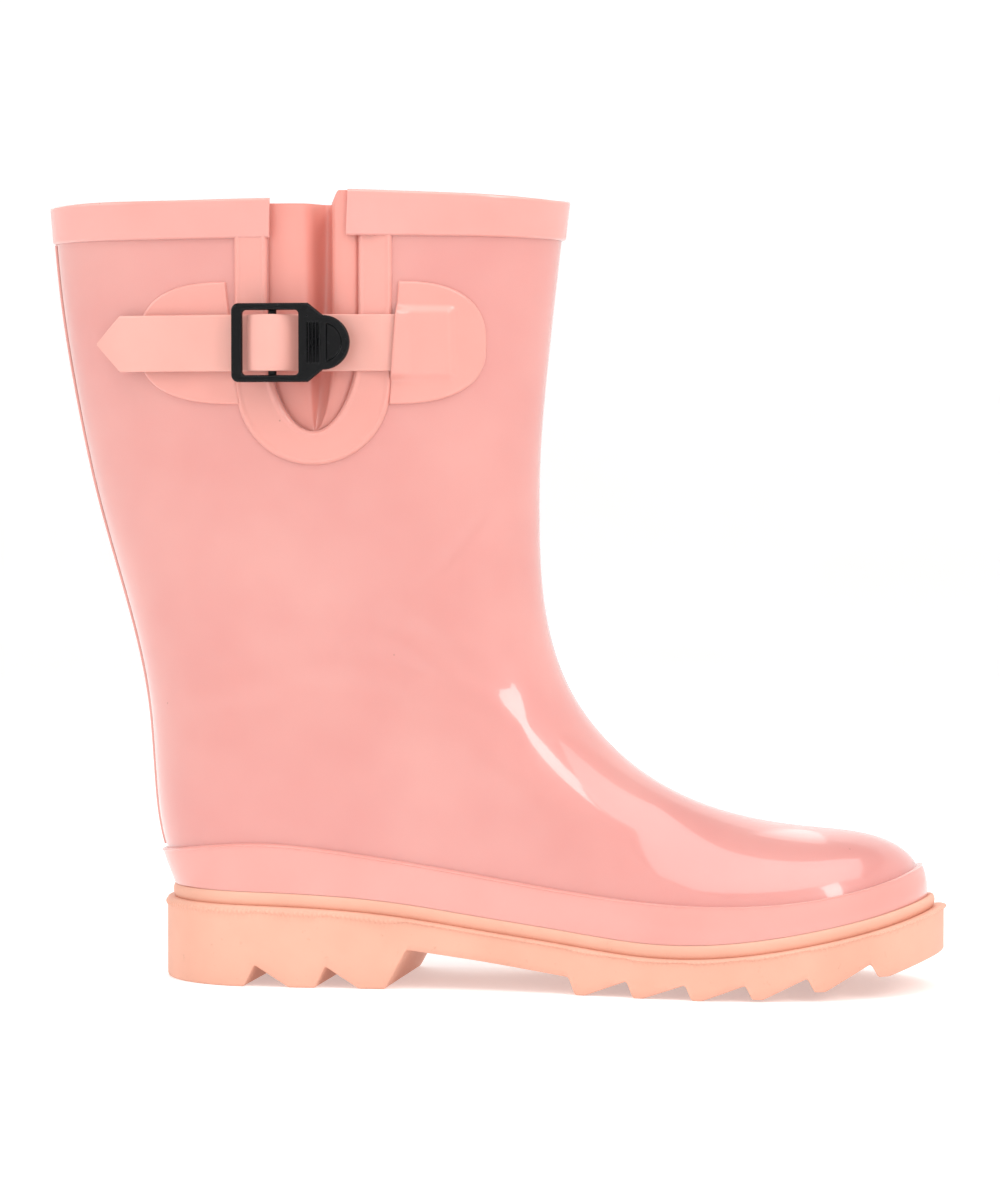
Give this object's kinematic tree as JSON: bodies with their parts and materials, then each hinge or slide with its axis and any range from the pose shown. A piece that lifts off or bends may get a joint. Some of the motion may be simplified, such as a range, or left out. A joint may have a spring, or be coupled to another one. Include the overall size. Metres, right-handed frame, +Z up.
{
  "type": "rubber rain boot",
  "caption": "Mid-calf rubber rain boot for the right foot with side gusset, strap, plastic buckle and lugged sole.",
  "frame": {"origin": "on the ground under the middle of the heel's rear pad", "axes": "+X towards the toe, +Z up, -Y the outer side, where the buckle is"},
  "size_m": [0.3255, 0.0994, 0.2791],
  "materials": {
    "glossy_rubber": "glossy moulded rubber, pale salmon pink",
    "trim_rubber": "satin rubber sheet, salmon pink",
    "strap_rubber": "satin rubber strap, peach pink",
    "black_plastic": "black moulded plastic with light scuffs",
    "sole_rubber": "matte moulded rubber, peach",
    "knit_lining": "cotton jersey bonded to the shell",
    "foam_footbed": "fabric-topped foam",
    "pressed_board": "pressed fibre board",
    "spring_steel": "plain steel strip"
  },
  "bodies": {
    "boot": {"upper_shell": "glossy_rubber", "cuff_band": "glossy_rubber", "back_stay": "glossy_rubber", "foxing": "glossy_rubber", "gusset": "trim_rubber", "gusset_trim": "trim_rubber", "rear_patch": "trim_rubber", "front_patch": "trim_rubber", "strap": "strap_rubber", "anchor_loop": "strap_rubber", "outsole": "sole_rubber", "lining": "knit_lining", "footbed": "foam_footbed", "insole_board": "pressed_board", "heel_counter": "pressed_board", "toe_puff": "pressed_board", "shank": "spring_steel"},
    "buckle_frame": {"buckle": "black_plastic"},
    "free_strap_end": {"strap_tail": "strap_rubber"}
  },
  "joints": [
    {"name": "buckle_tilt", "type": "hinge", "parent": "boot", "child": "buckle_frame", "pos_m": [0.026, -0.042, 0.2286], "axis": [0, 0, -1], "range_deg": [0, 12]},
    {"name": "strap_tail_slide", "type": "slide", "parent": "boot", "child": "free_strap_end", "axis": [-1, 0, 0], "range_m": [0, 0.006]}
  ]
}
